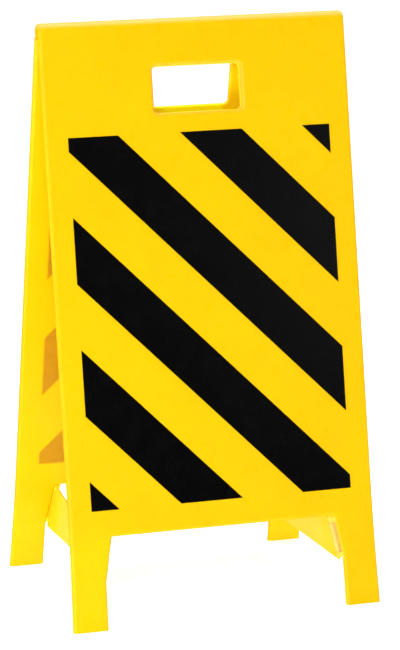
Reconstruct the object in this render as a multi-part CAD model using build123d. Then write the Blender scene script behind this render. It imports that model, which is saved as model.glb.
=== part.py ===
from build123d import *
import math
import os

# Folding floor stand with hazard stripes: two leaning double-wall panels on
# four legs, hinged along the top, with a swinging brace beside each pair of
# legs. Millimetres and degrees. +Z up, front towards -Y, origin on the floor
# in the middle of the four feet.
#
# Each panel is drawn hanging straight down from the hinge axis, with its outer
# face towards -Y, and is then leaned. "depth" is a distance below that axis.

# ---- driving dimensions ---------------------------------------------------
PANEL_W = 309.8          # width of each panel above its legs
LEAN = 11.08             # lean of each panel from the vertical
R_TOP = 8.0              # rounded top: hinge axis to outer face
PANEL_T = 7.5            # panel thickness
FACE_GAP = 0.5           # inner face to the hinge plane (half the folded gap)
WALL_T = 2.2             # moulded wall
EDGE_R = 3.2             # rounded rim of the panel
FOOT_DEPTH = 574.0       # hinge axis to floor, along the outer face
FLARE_DEPTH, FLARE_END = 455.0, 545.0   # a leg's outer edge curves out between these
FLARE_R = 3027.0         # radius of that curve, 2.2 mm out at the floor

HOLE_W, HOLE_TOP, HOLE_BOTTOM = 87.4, 38.7, 82.9   # hand hole
HOLE_CORNER_R = 4.0
HOLE_RIM_R, HOLE_EDGE_R = 4.8, 2.2   # its rim on the outer and the inner face

CUT_DEPTH = 484.6        # lower edge of the panel between the legs
ROOT_X = 113.2           # inner edge of a leg at its root
KINK_DEPTH = 528.0       # where the leg's taper ends
FOOT_X = 122.2           # inner edge of a leg at the floor
ROOT_R = 2.0             # inside corner at the root of a leg

KNUCKLE_X = (22.0, 112.5)      # rear knuckles lie between these, both sides
KNUCKLE_SIDE = 0.4             # side gap of a knuckle
CAP_R_IN = 6.2                 # inside of the top cap over the rear knuckles
REAR_KNUCKLE_R = 5.8
STOP_GAP = 2.2                 # degrees between cap and rear panel when open
ROD_R = 3.0
ROD_LEN = 304.4
ROD_FIT_FRONT, ROD_FIT_REAR = 0.02, 0.06
PLUG_R, PLUG_T = 4.0, 2.2

BRACE_T = 1.8            # brace plate
BRACE_OUT = 2.2          # plate reaches this far to the leg's side of its pin
BRACE_TOE_IN = 1.0       # open brace stops this far short of square
BARREL_R = 2.6           # brace hinge barrel
LUG_R = 2.8              # lugs it turns between
PIN_R = 1.24
PIN_FIT_LUG, PIN_FIT_BARREL = 0.01, 0.06
BARREL_OFF = 3.2         # pin axis to the leg's inner edge
BRACE_TOP_R = 486.2      # top edge of the open brace, about the top hinge
BRACE_LOW_Z = 42.0       # lower edge of the open brace above the floor
LUG_T1 = (-1.5, 7.0)     # upper lug, along the pin from the root of the leg
BARREL_SPAN = (7.4, 36.6)
LUG_T2 = (37.0, 42.0)    # lower lug
BRACE_START = 3.6        # plate is cut back this far from the pin at the lugs
BRACE_END_N = 20.0       # free end, measured in from the other panel's outer face

STRIPE_W2, STRIPE_TOP, STRIPE_BOTTOM = 132.5, 102.2, 458.7   # striped field
STRIPE_STEP = 63.05      # half a pitch, along the field's height
STRIPE_GAIN = 0.35       # a black stripe is this much taller than half a pitch
STRIPE_SLOPE = 1.0096    # fall of a stripe across the field
FILM_T = 0.25            # stripe film

# ---- derived --------------------------------------------------------------
W2 = PANEL_W / 2
SA, CA = math.sin(math.radians(LEAN)), math.cos(math.radians(LEAN))
HINGE_Z = FOOT_DEPTH * CA - R_TOP * SA
# taper of the legs that lets a brace lie level both open and folded flat
TAPER = 11.0
for _ in range(20):
    TAPER = math.degrees(math.asin(math.cos(math.radians(TAPER)) * SA))
ST, CT = math.sin(math.radians(TAPER)), math.cos(math.radians(TAPER))
KINK_X = ROOT_X + (KINK_DEPTH - CUT_DEPTH) * ST / CT
Y_OUT, Y_IN = -R_TOP, -FACE_GAP
Y_MID = Y_OUT + PANEL_T / 2
BIG = FOOT_DEPTH + 15.0

FRONT = Pos(0, 0, HINGE_Z) * Rot(-LEAN, 0, 0)
REAR = Pos(0, 0, HINGE_Z) * Rot(LEAN, 0, 0) * Rot(0, 0, 180)
UNDER_FLOOR = Pos(0, 0, -50) * Box(600, 600, 100)


def along_x(r, x0, x1):
    """Cylinder on the hinge axis from x0 to x1."""
    return Pos((x0 + x1) / 2, 0, 0) * Cylinder(r, x1 - x0, rotation=(0, 90, 0))


def yz_prism(points, x0, x1):
    """Prism along X over a polygon of (y, z) points."""
    sk = make_face(Polyline(*[(p[0], p[1]) for p in points], close=True))
    return extrude(Plane.YZ.offset(x0) * sk, amount=x1 - x0)


def xz_prism(points, y0, y1):
    """Prism along Y over a polygon of (x, z) points, y0 > y1."""
    sk = make_face(Polyline(*points, close=True))
    return extrude(Plane.XZ.offset(-y0) * sk, amount=y0 - y1)


# ---- the plate both panels share ------------------------------------------


def leg_edge(depth):
    """Half width of the panel at a depth, on the flared outer edge of a leg."""
    return W2 + FLARE_R - math.sqrt(FLARE_R ** 2 - (depth - FLARE_DEPTH) ** 2)


flare = [(leg_edge(z), -z) for z in (FLARE_DEPTH, (FLARE_DEPTH + FLARE_END) / 2, FLARE_END)]
slope = (FLARE_END - FLARE_DEPTH) / math.sqrt(FLARE_R ** 2 - (FLARE_END - FLARE_DEPTH) ** 2)
sole_x = flare[2][0] + slope * (BIG - FLARE_END)
outline = Curve() + [
    Polyline((-W2, -FLARE_DEPTH), (-W2, 0), (W2, 0), (W2, -FLARE_DEPTH)),
    ThreePointArc(*flare),
    Polyline(flare[2], (sole_x, -BIG), (FOOT_X, -BIG), (KINK_X, -KINK_DEPTH), (ROOT_X, -CUT_DEPTH),
             (-ROOT_X, -CUT_DEPTH), (-KINK_X, -KINK_DEPTH), (-FOOT_X, -BIG),
             (-sole_x, -BIG), (-flare[2][0], flare[2][1])),
    ThreePointArc(*[(-x, z) for x, z in reversed(flare)]),
]
plate = extrude(Plane.XZ.offset(-Y_IN) * make_face(outline), amount=Y_IN - Y_OUT)
roots = [e for e in plate.edges().filter_by(Axis.Y)
         if abs(e.center().Z + CUT_DEPTH) < 0.5]
plate = fillet(roots, ROOT_R)
rim = [e for e in plate.edges()
       if (abs(e.center().Y - Y_OUT) < 0.01 or abs(e.center().Y - Y_IN) < 0.01)
       and e.center().Z < -1 and e.center().Z > -BIG + 1]
plate = fillet(rim, EDGE_R)

hole_mid = -(HOLE_TOP + HOLE_BOTTOM) / 2
hole = extrude(Plane.XZ.offset(-5) * Pos(0, hole_mid) *
               RectangleRounded(HOLE_W, HOLE_BOTTOM - HOLE_TOP, HOLE_CORNER_R),
               amount=20)
plate = plate - hole
for face_y, rim_r in ((Y_OUT, HOLE_RIM_R), (Y_IN, HOLE_EDGE_R)):
    hole_rim = [e for e in plate.edges()
                if abs(e.center().Y - face_y) < 0.01
                and abs(e.center().X) < HOLE_W / 2 + 1
                and -HOLE_BOTTOM - 1 < e.center().Z < -HOLE_TOP + 1]
    plate = fillet(hole_rim, rim_r)

# closed hollow of the double wall, solid around the hinge, hole and soles
inset = EDGE_R
cavity_pts = [(-W2 + inset, -18), (W2 - inset, -18), (W2 - inset, -564),
              (FOOT_X + inset, -564), (KINK_X + inset, -KINK_DEPTH),
              (ROOT_X + inset + 0.8, -CUT_DEPTH + inset),
              (-ROOT_X - inset - 0.8, -CUT_DEPTH + inset),
              (-KINK_X - inset, -KINK_DEPTH), (-FOOT_X - inset, -564),
              (-W2 + inset, -564)]
cavity = xz_prism(cavity_pts, Y_IN - WALL_T, Y_OUT + WALL_T)
hole_ring = Pos(0, 0, hole_mid) * Box(HOLE_W + 16, 60, HOLE_BOTTOM - HOLE_TOP + 16)
cavity = cavity - hole_ring

# ---- brace hinge on the leg at +X ------------------------------------------
A0 = Vector(ROOT_X - BARREL_OFF / CT, Y_MID, -CUT_DEPTH)
H_DIR = Vector(ST, 0, -CT)
PIN_PLANE = Plane(origin=A0, x_dir=(CT, 0, ST), z_dir=H_DIR)


def pin_cyl(r, t0, t1):
    """Cylinder on the brace pin's axis, t measured down from the leg's root."""
    return PIN_PLANE * Pos(0, 0, (t0 + t1) / 2) * Cylinder(r, t1 - t0)


def lug(t0, t1):
    web = PIN_PLANE * Pos(3.0, 0, (t0 + t1) / 2) * Box(6.0, 2 * LUG_R, t1 - t0)
    return pin_cyl(LUG_R, t0, t1) + web


lugs = lug(*LUG_T1) + lug(*LUG_T2)
pin_bore = pin_cyl(PIN_R + PIN_FIT_LUG, LUG_T1[0] + 1.6, LUG_T2[1] + 1)
plate = plate + lugs - pin_bore

# ---- front panel: rounded top with a cap over the rear knuckles ------------
barrel = along_x(R_TOP, -W2, W2)
barrel = fillet(barrel.edges().filter_by(GeomType.CIRCLE), EDGE_R)
front = plate + barrel
cap_end = math.radians(2 * LEAN + STOP_GAP)
for sgn in (-1, 1):
    x0, x1 = sorted((sgn * KNUCKLE_X[0], sgn * KNUCKLE_X[1]))
    front = front - along_x(CAP_R_IN, x0, x1)
    front = front - yz_prism([(0, 0), (30 * math.cos(cap_end), 30 * math.sin(cap_end)),
                              (30, -30), (Y_IN, -30), (Y_IN, 0)], x0, x1)
front = front - along_x(ROD_R + ROD_FIT_FRONT, -W2 - 1, W2 + 1)
for sgn in (-1, 1):
    x0, x1 = sorted((sgn * (W2 - PLUG_T - 0.3), sgn * (W2 + 1)))
    front = front - along_x(PLUG_R + 0.02, x0, x1)
front = front - cavity

# ---- rear panel: knuckles on the rod, clear of the front panel's barrel ----
rear = plate
clear_r = R_TOP + 0.4
for x0, x1 in ((-W2 - 5, -KNUCKLE_X[1]), (-KNUCKLE_X[0], KNUCKLE_X[0]),
               (KNUCKLE_X[1], W2 + 5)):
    x0, x1 = x0 - KNUCKLE_SIDE, x1 + KNUCKLE_SIDE
    rear = rear - along_x(clear_r, x0, x1)
    rear = rear - Pos((x0 + x1) / 2, 0, 0) * Box(x1 - x0, 40, 14)
for sgn in (-1, 1):
    x0, x1 = sorted((sgn * (KNUCKLE_X[0] + KNUCKLE_SIDE), sgn * (KNUCKLE_X[1] - KNUCKLE_SIDE)))
    rear = rear + along_x(REAR_KNUCKLE_R, x0, x1)
    rear = rear - along_x(ROD_R + ROD_FIT_REAR, x0 - 1, x1 + 1)
rear = rear - cavity

# ---- hinge rod and its end plugs -------------------------------------------
rod = along_x(ROD_R, -ROD_LEN / 2, ROD_LEN / 2)
rod = chamfer(rod.edges().filter_by(GeomType.CIRCLE), 0.5)
plugs = []
for sgn in (-1, 1):
    x0, x1 = sorted((sgn * (W2 - PLUG_T - 0.2), sgn * (W2 - 0.2)))
    plug = along_x(PLUG_R, x0, x1)
    outer = [e for e in plug.edges().filter_by(GeomType.CIRCLE)
             if abs(abs(e.center().X) - (W2 - 0.2)) < 0.01]
    plugs.append(fillet(outer, 0.6))

# ---- brace, drawn folded flat in its own panel ------------------------------
def to_open(s, t):
    """World y, z of a brace point s along the plate and t along its pin."""
    y0 = A0.Y * CA + A0.Z * SA
    z0 = HINGE_Z - A0.Y * SA + A0.Z * CA
    return y0 - t * CT * SA + s, z0 - t * CT * CA


def from_open(y, z):
    y0, z0 = to_open(0, 0)
    t = (z0 - z) / (CT * CA)
    return y - y0 + t * CT * SA, t


def top_point(s):
    """t of the brace's top edge at s: an arc about the top hinge."""
    t = 2.0
    for _ in range(30):
        y, z = to_open(s, t)
        t += (z - (HINGE_Z - math.sqrt(BRACE_TOP_R ** 2 - y ** 2))) / (CT * CA)
    return t


def free_end(z):
    """s, t of the free end at height z, parallel to the other panel."""
    n = R_TOP - BRACE_END_N
    d = (HINGE_Z + n * SA - z) / CA
    return from_open(n * CA + d * SA, z)


def flat(s, t):
    """Point of the folded brace in the panel's own x, z."""
    return (A0.X + t * ST - s, A0.Z - t * CT)


low_t = from_open(0, BRACE_LOW_Z)[1]
end_low = free_end(BRACE_LOW_Z)
s_guess = end_low[0]
for _ in range(30):
    s_guess, t_guess = free_end(to_open(s_guess, top_point(s_guess))[1])
end_top = (s_guess, top_point(s_guess))
s_mid = (BRACE_START + end_top[0]) / 2
brace_wire = [
    ThreePointArc(flat(BRACE_START, top_point(BRACE_START)),
                  flat(s_mid, top_point(s_mid)), flat(*end_top)),
    Polyline(flat(*end_top), flat(*end_low), flat(BRACE_START, low_t),
             flat(BRACE_START, BARREL_SPAN[1] + BRACE_START * ST), flat(0, BARREL_SPAN[1]),
             flat(0, BARREL_SPAN[0]), flat(BRACE_START, BARREL_SPAN[0] + BRACE_START * ST),
             flat(BRACE_START, top_point(BRACE_START))),
]
brace_face = make_face(Curve() + brace_wire)
brace_y0 = Y_MID + BRACE_OUT
brace = extrude(Plane.XZ.offset(-brace_y0) * brace_face, amount=BRACE_T)
corner = [e for e in brace.edges().filter_by(Axis.Y)
          if e.center().X < 0]
brace = fillet(corner, 6.0)
heel = flat(BRACE_START, low_t)
brace = fillet([e for e in brace.edges().filter_by(Axis.Y)
                if math.hypot(e.center().X - heel[0], e.center().Z - heel[1]) < 0.01], 3.0)
brace = brace + pin_cyl(BARREL_R, *BARREL_SPAN)
brace = brace - pin_cyl(PIN_R + PIN_FIT_BARREL, BARREL_SPAN[0] - 1, BARREL_SPAN[1] + 1)

# swing from flat in the panel to level across the stand, about the pin
flat_dir = Vector(-1, 0, 0)
open_dir = Vector(0, CA, SA)
fd = flat_dir - H_DIR * flat_dir.dot(H_DIR)
od = open_dir - H_DIR * open_dir.dot(H_DIR)
SWING = math.degrees(math.atan2(H_DIR.dot(fd.cross(od)), fd.dot(od)))
SWING -= math.copysign(BRACE_TOE_IN, SWING)
brace = brace.rotate(Axis(A0, H_DIR), SWING)
pin = pin_cyl(PIN_R, LUG_T1[0] + 1.8, LUG_T2[1])
pin = chamfer(pin.edges().filter_by(GeomType.CIRCLE), 0.25)

# ---- stripe film pieces -----------------------------------------------------
def clip(poly, keep):
    """Part of a polygon where keep(u, d) is not negative."""
    out = []
    for i, p in enumerate(poly):
        q = poly[(i + 1) % len(poly)]
        a, b = keep(*p), keep(*q)
        if a >= 0:
            out.append(p)
        if (a >= 0) != (b >= 0):
            f = a / (a - b)
            out.append((p[0] + f * (q[0] - p[0]), p[1] + f * (q[1] - p[1])))
    return out


field = [(-STRIPE_W2, STRIPE_TOP), (STRIPE_W2, STRIPE_TOP),
         (STRIPE_W2, STRIPE_BOTTOM), (-STRIPE_W2, STRIPE_BOTTOM)]
c_mid = (STRIPE_TOP + STRIPE_BOTTOM) / 2
edges_c = [c_mid + (k - 4.5) * STRIPE_STEP for k in range(10)]
bands = [(-1e4, edges_c[0])] + [(edges_c[k], edges_c[k + 1]) for k in (1, 3, 5, 7)] \
    + [(edges_c[9], 1e4)]
stripes = []
for lo, hi in bands:
    poly = clip(field, lambda u, d: (d - STRIPE_SLOPE * u) - (lo - STRIPE_GAIN / 2))
    poly = clip(poly, lambda u, d: (hi + STRIPE_GAIN / 2) - (d - STRIPE_SLOPE * u))
    stripes.append(xz_prism([(u, -d) for u, d in poly], Y_OUT, Y_OUT - FILM_T))

# ---- place and write --------------------------------------------------------
nodes = {
    "front_panel": FRONT * front - UNDER_FLOOR,
    "rear_panel": REAR * rear - UNDER_FLOOR,
    "hinge_rod": Pos(0, 0, HINGE_Z) * rod,
    "hinge_rod_plugs": Pos(0, 0, HINGE_Z) * Compound(children=plugs),
    "right_brace": FRONT * brace,
    "left_brace": REAR * brace,
    "right_brace_pin": FRONT * pin,
    "left_brace_pin": REAR * pin,
}
for i, s in enumerate(stripes, 1):
    nodes["front_stripe_%d" % i] = FRONT * s
    nodes["rear_stripe_%d" % i] = REAR * s

os.makedirs("parts", exist_ok=True)
for name, shape in nodes.items():
    solids = shape.solids()
    export_step(solids[0] if len(solids) == 1 else shape, "parts/%s.step" % name)

p0 = FRONT * Pos(*A0)
print("hinge z %.4f  brace pin at (%.4f, %.4f, %.4f)" % (
    HINGE_Z, p0.position.X, p0.position.Y, p0.position.Z))
print("pin axis (%.6f, %.6f, %.6f)  swing %.4f  taper %.4f" % (
    ST, -CT * SA, -CT * CA, SWING, TAPER))
print("kink x %.2f  brace top free end s,t %.2f %.2f  low %.2f %.2f" % (
    KINK_X, end_top[0], end_top[1], end_low[0], end_low[1]))
worst = min(math.hypot(*(lambda y, z: (y, z - HINGE_Z))(*to_open(s, top_point(s))))
            for s in [BRACE_START + i for i in range(int(end_top[0] - BRACE_START))])
print("brace top edge least radius %.2f" % worst)
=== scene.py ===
import math

import bpy
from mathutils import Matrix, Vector

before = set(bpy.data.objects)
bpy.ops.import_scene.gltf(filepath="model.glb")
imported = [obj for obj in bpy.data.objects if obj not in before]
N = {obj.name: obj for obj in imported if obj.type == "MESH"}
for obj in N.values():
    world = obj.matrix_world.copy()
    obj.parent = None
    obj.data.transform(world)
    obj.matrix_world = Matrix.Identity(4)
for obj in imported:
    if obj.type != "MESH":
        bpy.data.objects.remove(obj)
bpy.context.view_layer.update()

# Shared sizes of the stand, in millimetres.
LEAN = math.radians(11.08)
SA, CA = math.sin(LEAN), math.cos(LEAN)
HINGE_Z = 561.7631
FACE_IN, FACE_OUT, FACE_MID = -0.5, -8.0, -4.25
W2 = 154.9
STRIPE_W2, STRIPE_TOP, STRIPE_BOTTOM = 132.5, 102.2, 458.7
STRIPE_STEP, STRIPE_START, STRIPE_SLOPE = 63.05, 59.775, 1.0096
CUT, KINK, ROOT_X, TAPER = 484.6, 528.0, 113.2, 0.1922   # tapered root of a leg


# ---- node helpers -----------------------------------------------------------
class Tree:
    """Short names for making a material's nodes."""

    def __init__(self, name):
        self.mat = bpy.data.materials.new(name)
        self.mat.use_nodes = True
        self.nt = self.mat.node_tree
        self.nt.nodes.clear()
        self.out = self.nt.nodes.new("ShaderNodeOutputMaterial")
        self.bsdf = self.nt.nodes.new("ShaderNodeBsdfPrincipled")
        self.nt.links.new(self.bsdf.outputs[0], self.out.inputs["Surface"])

    def link(self, value, socket):
        if isinstance(value, bpy.types.NodeSocket):
            self.nt.links.new(value, socket)
        else:
            socket.default_value = value

    def math(self, op, a, b=0.0, c=0.0, clamp=False):
        n = self.nt.nodes.new("ShaderNodeMath")
        n.operation, n.use_clamp = op, clamp
        for v, s in zip((a, b, c), n.inputs):
            self.link(v, s)
        return n.outputs[0]

    def dot(self, vec, axis):
        n = self.nt.nodes.new("ShaderNodeVectorMath")
        n.operation = "DOT_PRODUCT"
        self.link(vec, n.inputs[0])
        n.inputs[1].default_value = axis
        return n.outputs["Value"]

    def scaled(self, vec, factors):
        n = self.nt.nodes.new("ShaderNodeVectorMath")
        n.operation = "MULTIPLY"
        self.link(vec, n.inputs[0])
        n.inputs[1].default_value = factors
        return n.outputs[0]

    def join(self, x, y, z):
        n = self.nt.nodes.new("ShaderNodeCombineXYZ")
        for v, s in zip((x, y, z), n.inputs):
            self.link(v, s)
        return n.outputs[0]

    def ramp(self, value, lo, hi, a=0.0, b=1.0, smooth=True):
        n = self.nt.nodes.new("ShaderNodeMapRange")
        n.interpolation_type = "SMOOTHSTEP" if smooth else "LINEAR"
        self.link(value, n.inputs["Value"])
        for v, s in zip((lo, hi, a, b), ("From Min", "From Max", "To Min", "To Max")):
            n.inputs[s].default_value = v
        return n.outputs[0]

    def noise(self, vec, scale, detail=2.0, rough=0.5, distort=0.0):
        n = self.nt.nodes.new("ShaderNodeTexNoise")
        self.link(vec, n.inputs["Vector"])
        n.inputs["Scale"].default_value = scale
        n.inputs["Detail"].default_value = detail
        n.inputs["Roughness"].default_value = rough
        n.inputs["Distortion"].default_value = distort
        return n.outputs["Fac"]

    def mix(self, fac, a, b, kind="MIX"):
        n = self.nt.nodes.new("ShaderNodeMix")
        n.data_type, n.blend_type = "RGBA", kind
        self.link(fac, n.inputs["Factor"])
        for v, s in ((a, n.inputs[6]), (b, n.inputs[7])):
            self.link(v if isinstance(v, bpy.types.NodeSocket) else (*v, 1.0), s)
        return n.outputs[2]

    def bump(self, height, strength, distance, normal=None):
        n = self.nt.nodes.new("ShaderNodeBump")
        n.inputs["Strength"].default_value = strength
        n.inputs["Distance"].default_value = distance
        self.link(height, n.inputs["Height"])
        if normal is not None:
            self.link(normal, n.inputs["Normal"])
        return n.outputs[0]

    def object_mm(self):
        n = self.nt.nodes.new("ShaderNodeTexCoord")
        return self.scaled(n.outputs["Object"], (1000.0,) * 3)

    def local(self, side):
        """Across, through and down coordinates of a panel, in mm. side is 1 in front, -1 behind."""
        p = self.object_mm()
        u = self.dot(p, (side, 0, 0))
        y = self.math("ADD", self.dot(p, (0, side * CA, -SA)), HINGE_Z * SA)
        d = self.math("ADD", self.dot(p, (0, -side * SA, -CA)), HINGE_Z * CA)
        return p, u, y, d


def stripe_mask(t, u, d, blur):
    """1 under a stripe of the striped field, with soft edges blur mm wide."""
    phase = t.math("MULTIPLY", t.math("ADD", t.math("SUBTRACT", d, t.math("MULTIPLY", u, STRIPE_SLOPE)), -STRIPE_START),
                   math.pi / STRIPE_STEP)
    soft = math.pi * blur / STRIPE_STEP
    m = t.ramp(t.math("SINE", phase), -soft, soft)
    au = t.math("ABSOLUTE", u)
    m = t.math("MULTIPLY", m, t.ramp(au, STRIPE_W2 - blur, STRIPE_W2 + blur, 1.0, 0.0))
    m = t.math("MULTIPLY", m, t.ramp(d, STRIPE_TOP - blur, STRIPE_TOP + blur))
    return t.math("MULTIPLY", m, t.ramp(d, STRIPE_BOTTOM - blur, STRIPE_BOTTOM + blur, 1.0, 0.0))


# ---- materials --------------------------------------------------------------
def panel_plastic(name, side, lug_colour, wall_colour):
    """Translucent yellow moulded plastic of a panel."""
    t = Tree(name)
    p, u, y, d = t.local(side)
    # wall thickness of a blown panel drifts slowly, so the colour does too
    drift = t.noise(p, 0.012, 2.0, 0.5)
    fine = t.noise(p, 0.09, 3.0, 0.55)
    col = t.mix(t.ramp(drift, 0.3, 0.7), (0.745, 0.416, 0.0002), (0.765, 0.438, 0.0003))
    col = t.mix(t.ramp(fine, 0.25, 0.75, 0.0, 0.35), col, (0.775, 0.452, 0.0003))
    # painted light: the rim and the inner face are painted lighter, standing in for the light that comes through the
    # walls and for the highlight along the rounded rim
    au = t.math("ABSOLUTE", u)
    inner = t.ramp(y, -2.0, -0.9)
    rim = t.math("MULTIPLY", t.ramp(y, -7.8, -5.8, 0.0, 0.75), t.ramp(d, 6.0, 12.0, 0.15, 1.0))
    clear = t.mix(t.ramp(d, 120.0, 330.0), (0.93, 0.545, 0.0010), (0.91, 0.510, 0.0008))
    # painted light: the lower part of one leg of each panel is painted lighter, standing in for the light that falls on
    # it
    painted_leg_light = t.math("MULTIPLY", t.ramp(d, 470.0, 505.0), t.ramp(u, -110.0, -80.0, 1.0, 0.0))
    col = t.mix(painted_leg_light, col, (0.785, 0.470, 0.0003))
    clear = t.mix(painted_leg_light, clear, (0.97, 0.680, 0.0008))
    edge = t.mix(t.ramp(d, 100.0, 380.0), (0.92, 0.530, 0.0006), (0.91, 0.462, 0.0004))
    edge = t.mix(t.ramp(d, 485.0, 510.0), edge, (0.93, 0.540, 0.0006))
    col = t.mix(rim, col, edge)
    # painted highlight over the rounded top
    col = t.mix(t.ramp(d, -5.5, -1.5, 1.0, 0.0), col, (0.785, 0.455, 0.070))
    col = t.mix(t.math("MULTIPLY", inner, t.ramp(d, 6.0, 12.0, 0.15, 1.0)), col, clear)
    # painted light and shade in the hand hole: its rounded lip is painted orange, with a pinkish painted highlight on
    # the side walls, and its inner walls and sill are painted paler where shade falls
    hole = t.math("MULTIPLY", t.ramp(au, 53.0, 58.0, 1.0, 0.0), t.ramp(d, 35.0, 38.0))
    hole = t.math("MULTIPLY", hole, t.ramp(d, 90.0, 98.0, 1.0, 0.0))
    sill = t.math("MULTIPLY", t.ramp(d, 78.0, 82.0), t.ramp(au, 36.0, 41.0, 1.0, 0.0))
    for start, end, side_colour, sill_colour in (
            (-7.9, -7.2, (0.95, 0.480, 0.0200), (0.92, 0.460, 0.0006)),
            (-7.5, -6.9, (0.94, 0.390, 0.0260), (0.94, 0.430, 0.0010)),
            (-6.1, -5.2, (0.92, 0.625, 0.0025), (0.99, 0.850, 0.0030))):
        depth = t.math("MULTIPLY", hole, t.ramp(y, start, end))
        col = t.mix(depth, col, t.mix(sill, side_colour, sill_colour))
    # painted light on the thin lugs of the brace hinge, past the leg's inner edge: the lugs and the leg's inner wall
    # are painted paler, lifting the shade of the groove beside the brace barrel
    past = t.math("SUBTRACT", t.math("ADD", t.math("MULTIPLY", d, TAPER), ROOT_X - CUT * TAPER), u)
    lug = t.math("MULTIPLY", t.ramp(past, -0.8, 0.2), t.ramp(d, CUT + 0.6, CUT + 1.8))
    lug = t.math("MULTIPLY", lug, t.ramp(u, 90.0, 96.0))
    lug = t.math("MULTIPLY", lug, t.ramp(d, KINK - 1.0, KINK, 1.0, 0.0))
    col = t.mix(lug, col, t.mix(t.ramp(past, 0.4, 1.0), wall_colour, lug_colour))
    # stripes behind the wall show through as an amber shadow
    ghost = t.math("MULTIPLY", stripe_mask(t, u, d, 1.6), inner)
    ghost = t.math("MULTIPLY", ghost, t.ramp(fine, 0.2, 0.8, 0.86, 1.0))
    col = t.mix(ghost, col, (0.470, 0.232, 0.0070))
    t.link(col, t.bsdf.inputs["Base Color"])
    # satin skin, with a faint orange peel and a few handling scuffs
    peel = t.noise(p, 1.1, 2.0, 0.5)
    grain = t.noise(p, 5.5, 1.0, 0.5)
    scuff = t.noise(t.scaled(p, (0.02, 0.02, 0.35)), 1.0, 4.0, 0.6, 0.6)
    rough = t.ramp(fine, 0.2, 0.8, 0.26, 0.33)
    rough = t.math("ADD", rough, t.ramp(scuff, 0.62, 0.78, 0.0, 0.14))
    t.link(rough, t.bsdf.inputs["Roughness"])
    # parting line of the mould round the rim
    seam = t.ramp(t.math("ABSOLUTE", t.math("ADD", y, -FACE_MID)), 0.12, 0.42, 1.0, 0.0)
    height = t.math("ADD", t.math("MULTIPLY", peel, 0.5), t.math("MULTIPLY", grain, 0.12))
    n1 = t.bump(height, 0.20, 0.0006)
    n2 = t.bump(seam, 0.25, 0.0002, n1)
    t.link(n2, t.bsdf.inputs["Normal"])
    t.bsdf.inputs["IOR"].default_value = 1.5
    t.bsdf.inputs["Specular IOR Level"].default_value = 0.13
    t.bsdf.inputs["Subsurface Weight"].default_value = 0.25
    t.bsdf.inputs["Subsurface Radius"].default_value = (1.0, 0.55, 0.08)
    t.bsdf.inputs["Subsurface Scale"].default_value = 0.003
    return t.mat


PIN = Vector((109.9414, -97.3009, 87.0129))
PIN_DIR = Vector((0.188726, -0.188726, -0.963725))


def brace_plastic(name, side, pale, deep, barrel):
    """Thinner and clearer plastic of a brace, its colour painted paler to stand in for the light that comes through it.
    side is 1 at the right, -1 at the left.
    """
    t = Tree(name)
    p = t.object_mm()
    drift = t.noise(p, 0.03, 2.0, 0.5)
    # painted light and shade: one colour near its own leg and another away from it, and a painted highlight on the
    # barrel round the pin
    along = t.math("ADD", t.dot(p, (0, side, 0)), -PIN.y)
    near = t.ramp(along, 5.0, 52.0, 1.0, 0.0)
    col = t.mix(near, pale, deep)
    col = t.mix(t.ramp(drift, 0.3, 0.7, 0.0, 0.12), col, (0.98, 0.86, 0.120))
    b = PIN_DIR.orthogonal().normalized()
    off = []
    for axis in (b, PIN_DIR.cross(b)):
        d = t.math("ADD", t.dot(p, (side * axis.x, side * axis.y, axis.z)), -PIN.dot(axis))
        off.append(t.math("MULTIPLY", d, d))
    r = t.math("SQRT", t.math("ADD", *off))
    col = t.mix(t.ramp(r, 2.8, 3.5, 1.0, 0.0), col, barrel)
    t.link(col, t.bsdf.inputs["Base Color"])
    peel = t.noise(p, 1.2, 2.0, 0.5)
    t.link(t.ramp(drift, 0.2, 0.8, 0.30, 0.38), t.bsdf.inputs["Roughness"])
    # edges eased by the mould
    eased = t.nt.nodes.new("ShaderNodeBevel")
    eased.samples = 6
    eased.inputs["Radius"].default_value = 0.0005
    t.link(t.bump(peel, 0.15, 0.0005, eased.outputs[0]), t.bsdf.inputs["Normal"])
    t.bsdf.inputs["Specular IOR Level"].default_value = 0.35
    t.bsdf.inputs["Subsurface Weight"].default_value = 0.6
    t.bsdf.inputs["Subsurface Radius"].default_value = (1.0, 0.8, 0.25)
    t.bsdf.inputs["Subsurface Scale"].default_value = 0.004
    return t.mat


def stripe_film(name, side):
    """Satin black vinyl with a fine calendered grain."""
    t = Tree(name)
    p, u, y, d = t.local(side)
    grain = t.noise(p, 1.6, 3.0, 0.6)
    drift = t.noise(p, 0.05, 2.0, 0.5)
    col = t.mix(t.ramp(grain, 0.35, 0.7), (0.0003, 0.0003, 0.0003), (0.0014, 0.0014, 0.0015))
    t.link(col, t.bsdf.inputs["Base Color"])
    rough = t.math("ADD", t.ramp(drift, 0.3, 0.7, 0.22, 0.27), t.ramp(grain, 0.3, 0.7, -0.02, 0.03))
    t.link(rough, t.bsdf.inputs["Roughness"])
    t.link(t.bump(grain, 0.12, 0.0004), t.bsdf.inputs["Normal"])
    t.bsdf.inputs["Specular IOR Level"].default_value = 0.2
    return t.mat


def steel(name, along):
    """Drawn steel, streaked along the given direction."""
    t = Tree(name)
    p = t.object_mm()
    a = Vector(along).normalized()
    b = a.orthogonal().normalized()
    c = a.cross(b)
    q = t.join(t.math("MULTIPLY", t.dot(p, a), 0.12), t.dot(p, b), t.dot(p, c))
    streak = t.noise(q, 3.0, 3.0, 0.6)
    col = t.mix(streak, (0.42, 0.42, 0.43), (0.62, 0.62, 0.62))
    t.link(col, t.bsdf.inputs["Base Color"])
    t.bsdf.inputs["Metallic"].default_value = 1.0
    t.link(t.ramp(streak, 0.2, 0.8, 0.24, 0.4), t.bsdf.inputs["Roughness"])
    t.link(t.bump(streak, 0.15, 0.0002), t.bsdf.inputs["Normal"])
    return t.mat


def dress(node, mat):
    o = N[node]
    o.data.materials.clear()
    o.data.materials.append(mat)


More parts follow.
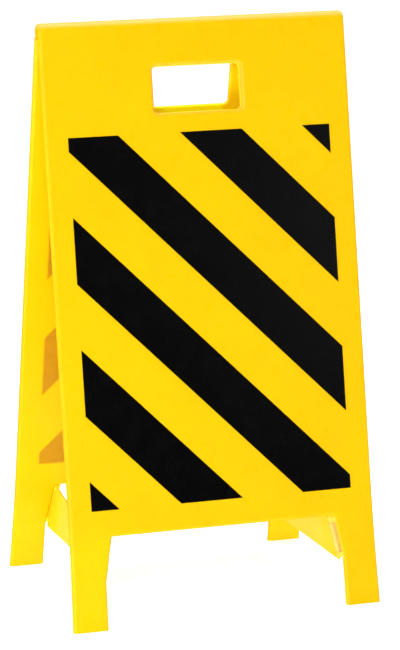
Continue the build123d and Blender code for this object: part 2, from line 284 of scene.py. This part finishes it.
front_mat = panel_plastic("panel_plastic_front", 1, (0.93, 0.54, 0.055), (0.95, 0.70, 0.130))
rear_mat = panel_plastic("panel_plastic_rear", -1, (0.97, 0.78, 0.0040), (0.98, 0.90, 0.0300))
dress("front_panel", front_mat)
dress("rear_panel", rear_mat)
dress("hinge_rod_plugs", front_mat)
dress("right_brace", brace_plastic("brace_plastic_right", 1, (0.96, 0.70, 0.058), (0.96, 0.635, 0.010),
                                   (0.97, 0.500, 0.100)))
dress("left_brace", brace_plastic("brace_plastic_left", -1, (0.96, 0.615, 0.052), (0.97, 0.655, 0.0030),
                                  (0.98, 0.860, 0.0060)))
front_film = stripe_film("stripe_film_front", 1)
rear_film = stripe_film("stripe_film_rear", -1)
for k in range(1, 7):
    dress("front_stripe_%d" % k, front_film)
    dress("rear_stripe_%d" % k, rear_film)
dress("hinge_rod", steel("steel_rod", (1, 0, 0)))
dress("right_brace_pin", steel("steel_pin_right", (0.188726, -0.188726, -0.963725)))
dress("left_brace_pin", steel("steel_pin_left", (-0.188726, 0.188726, -0.963725)))


# ---- floor, light, camera ---------------------------------------------------
def link(obj):
    bpy.context.scene.collection.objects.link(obj)
    return obj


floor_mesh = bpy.data.meshes.new("floor")
R = 14.0
floor_mesh.from_pydata([(-R, -R, 0), (R, -R, 0), (R, R, 0), (-R, R, 0)], [], [(0, 1, 2, 3)])
floor = link(bpy.data.objects.new("floor", floor_mesh))
ft = Tree("pale_floor")
fp = ft.object_mm()
ft.link(ft.mix(ft.noise(fp, 0.02, 2.0), (0.935, 0.935, 0.935), (0.945, 0.945, 0.945)),
        ft.bsdf.inputs["Base Color"])
ft.bsdf.inputs["Roughness"].default_value = 0.8
ft.bsdf.inputs["Specular IOR Level"].default_value = 0.1
floor_mesh.materials.append(ft.mat)
ft.bsdf.inputs["Emission Color"].default_value = (1.0, 1.0, 1.0, 1.0)
ft.bsdf.inputs["Emission Strength"].default_value = 0.62
floor.visible_glossy = False

# a pale backdrop round the floor, for the camera only
SIDES, HIGH = 64, 12.0
ring = [(0.98 * R * math.cos(2 * math.pi * k / SIDES), 0.98 * R * math.sin(2 * math.pi * k / SIDES))
        for k in range(SIDES)]
wall_mesh = bpy.data.meshes.new("backdrop")
wall_mesh.from_pydata([(x, y, z) for z in (0.0, HIGH) for x, y in ring], [],
                      [(k, (k + 1) % SIDES, SIDES + (k + 1) % SIDES, SIDES + k) for k in range(SIDES)])
backdrop = link(bpy.data.objects.new("backdrop", wall_mesh))
wt = Tree("pale_backdrop")
wt.bsdf.inputs["Base Color"].default_value = (0.0, 0.0, 0.0, 1.0)
wt.bsdf.inputs["Specular IOR Level"].default_value = 0.0
wt.bsdf.inputs["Emission Color"].default_value = (1.0, 1.0, 1.0, 1.0)
wt.bsdf.inputs["Emission Strength"].default_value = 1.0
wall_mesh.materials.append(wt.mat)
backdrop.visible_diffuse = backdrop.visible_glossy = backdrop.visible_transmission = False
backdrop.visible_shadow = False

# a studio: bright overhead, pale walls behind and at the left, dim on the camera's side
world = bpy.data.worlds.new("studio")
bpy.context.scene.world = world
world.use_nodes = True
wn, wl = world.node_tree.nodes, world.node_tree.links
bg = wn["Background"]
bg.inputs["Color"].default_value = (1.0, 1.0, 1.0, 1.0)
sky_dir = wn.new("ShaderNodeTexCoord")
sky_xyz = wn.new("ShaderNodeSeparateXYZ")
wl.new(sky_dir.outputs["Generated"], sky_xyz.inputs[0])


def glow(axis, start, end, low, high):
    n = wn.new("ShaderNodeMapRange")
    n.interpolation_type = "SMOOTHSTEP"
    for v, k in zip((start, end, low, high), ("From Min", "From Max", "To Min", "To Max")):
        n.inputs[k].default_value = v
    wl.new(sky_xyz.outputs[axis], n.inputs["Value"])
    return n.outputs[0]


def brighter(a, b):
    n = wn.new("ShaderNodeMath")
    n.operation = "MAXIMUM"
    wl.new(a, n.inputs[0])
    wl.new(b, n.inputs[1])
    return n.outputs[0]


tent = glow("Z", 0.16, 0.66, 0.02, 0.52)
wall_back = glow("Y", 0.05, 0.60, 0.0, 0.74)
wall_left = glow("X", -0.35, -0.90, 0.0, 0.40)
walls = wn.new("ShaderNodeMath")
walls.operation = "MULTIPLY"
wl.new(brighter(wall_back, wall_left), walls.inputs[0])
wl.new(glow("Z", -0.12, 0.06, 0.0, 1.0), walls.inputs[1])
wl.new(brighter(tent, walls.outputs[0]), bg.inputs["Strength"])


def softbox(name, place, aim, size, watts):
    data = bpy.data.lights.new(name, "AREA")
    data.shape, data.size, data.size_y = "RECTANGLE", size[0], size[1]
    data.energy = watts
    o = link(bpy.data.objects.new(name, data))
    o.location = place
    o.visible_camera = False
    o.rotation_mode = "QUATERNION"
    o.rotation_quaternion = (Vector(aim) - Vector(place)).to_track_quat("-Z", "Y")
    return o


softbox("key_front", (-1.45, -2.80, 1.75), (0, 0, 0.28), (1.4, 1.0), 57)
softbox("low_left", (-1.9, -0.5, 0.45), (0, 0, 0.15), (1.2, 0.8), 1.2)
softbox("front_low", (-0.55, -0.95, 0.13), (0, 0, 0.12), (0.8, 0.22), 3.5)
softbox("sheen_right", (1.00, -1.9, 0.68), (0.12, 0, 0.36), (0.3, 0.5), 0.55)
softbox("overhead", (0, 0.3, 2.4), (0, 0, 0.5), (2.0, 1.0), 42)

cam_data = bpy.data.cameras.new("camera")
cam_data.sensor_width = 36.0
cam_data.lens = 3223.05 * 36.0 / 650.0
cam_data.clip_end = 60.0
cam = link(bpy.data.objects.new("camera", cam_data))
az, el = math.radians(-18.660), math.radians(13.029)
back = Vector((math.sin(az) * math.cos(el), -math.cos(az) * math.cos(el), math.sin(el)))
cam.location = Vector((0.00911, 0.0, 0.26466)) + back * 3.17306
cam.rotation_mode = "QUATERNION"
cam.rotation_quaternion = (-back).to_track_quat("-Z", "Y")
bpy.context.scene.camera = cam
bpy.context.scene.view_settings.view_transform = "Standard"
